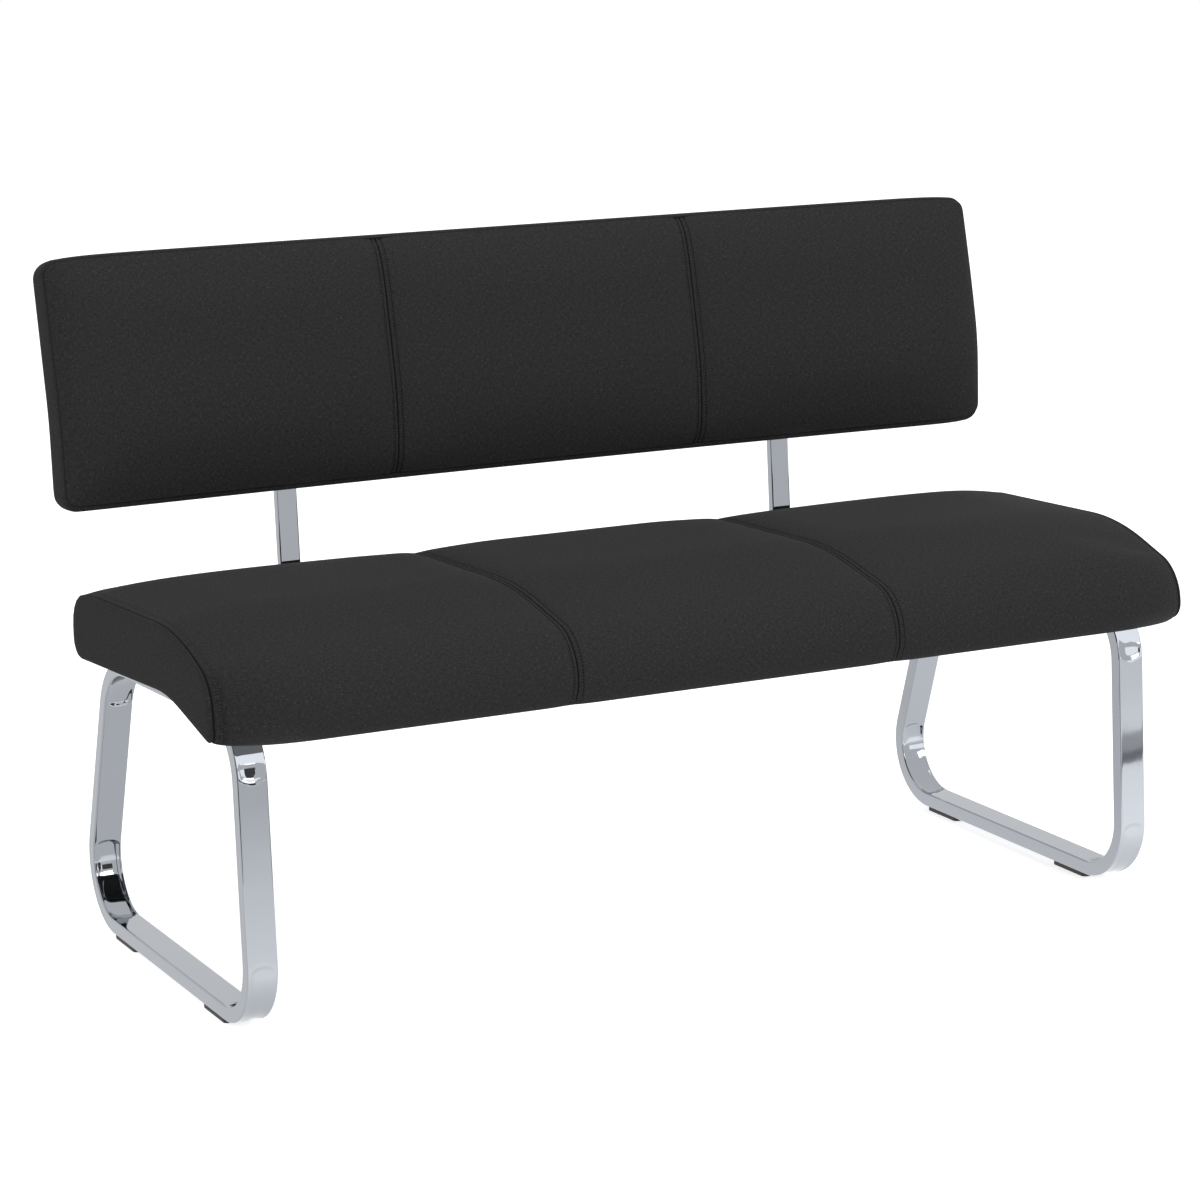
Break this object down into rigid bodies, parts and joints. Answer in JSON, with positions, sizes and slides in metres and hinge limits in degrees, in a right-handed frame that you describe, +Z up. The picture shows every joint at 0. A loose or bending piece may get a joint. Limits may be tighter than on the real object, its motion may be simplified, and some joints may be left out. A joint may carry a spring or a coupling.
{
  "type": "dining bench",
  "caption": "Upholstered dining bench with a padded back: waterfall seat and curved back in panelled woven fabric on bent chrome tube leg loops with flat back supports.",
  "frame": {"origin": "on the floor under the middle of the whole bench", "axes": "+X along the bench, to the right as seen from the front; +Y from the front to the back; +Z up"},
  "size_m": [1.41, 0.6596, 0.9186],
  "materials": {
    "chrome_tube": "polished chrome plate",
    "glide_plastic": "moulded",
    "cover_fabric": "fine plain weave",
    "dust_fabric": "thin nonwoven",
    "foam": "moulded foam",
    "plywood": "raw plywood",
    "rail_steel": "powder coat",
    "fastener_steel": "zinc plate"
  },
  "bodies": {
    "root": {"back_board": "plywood", "back_boxing": "cover_fabric", "back_cover_centre": "cover_fabric", "back_cover_left": "cover_fabric", "back_cover_rear": "cover_fabric", "back_cover_right": "cover_fabric", "back_foam": "foam", "back_screws": "fastener_steel", "back_sleeves": "fastener_steel", "front_left_glide": "glide_plastic", "front_right_glide": "glide_plastic", "front_seat_rail": "rail_steel", "left_back_support": "chrome_tube", "left_leg_loop": "chrome_tube", "leg_bolts": "fastener_steel", "rail_nuts": "fastener_steel", "rear_left_glide": "glide_plastic", "rear_right_glide": "glide_plastic", "rear_seat_rail": "rail_steel", "right_back_support": "chrome_tube", "right_leg_loop": "chrome_tube", "seat_board": "plywood", "seat_boxing_left": "cover_fabric", "seat_boxing_right": "cover_fabric", "seat_cover_centre": "cover_fabric", "seat_cover_left": "cover_fabric", "seat_cover_right": "cover_fabric", "seat_dust_cover": "dust_fabric", "seat_foam": "foam", "support_bolts": "fastener_steel", "washers": "fastener_steel"}
  },
  "joints": []
}
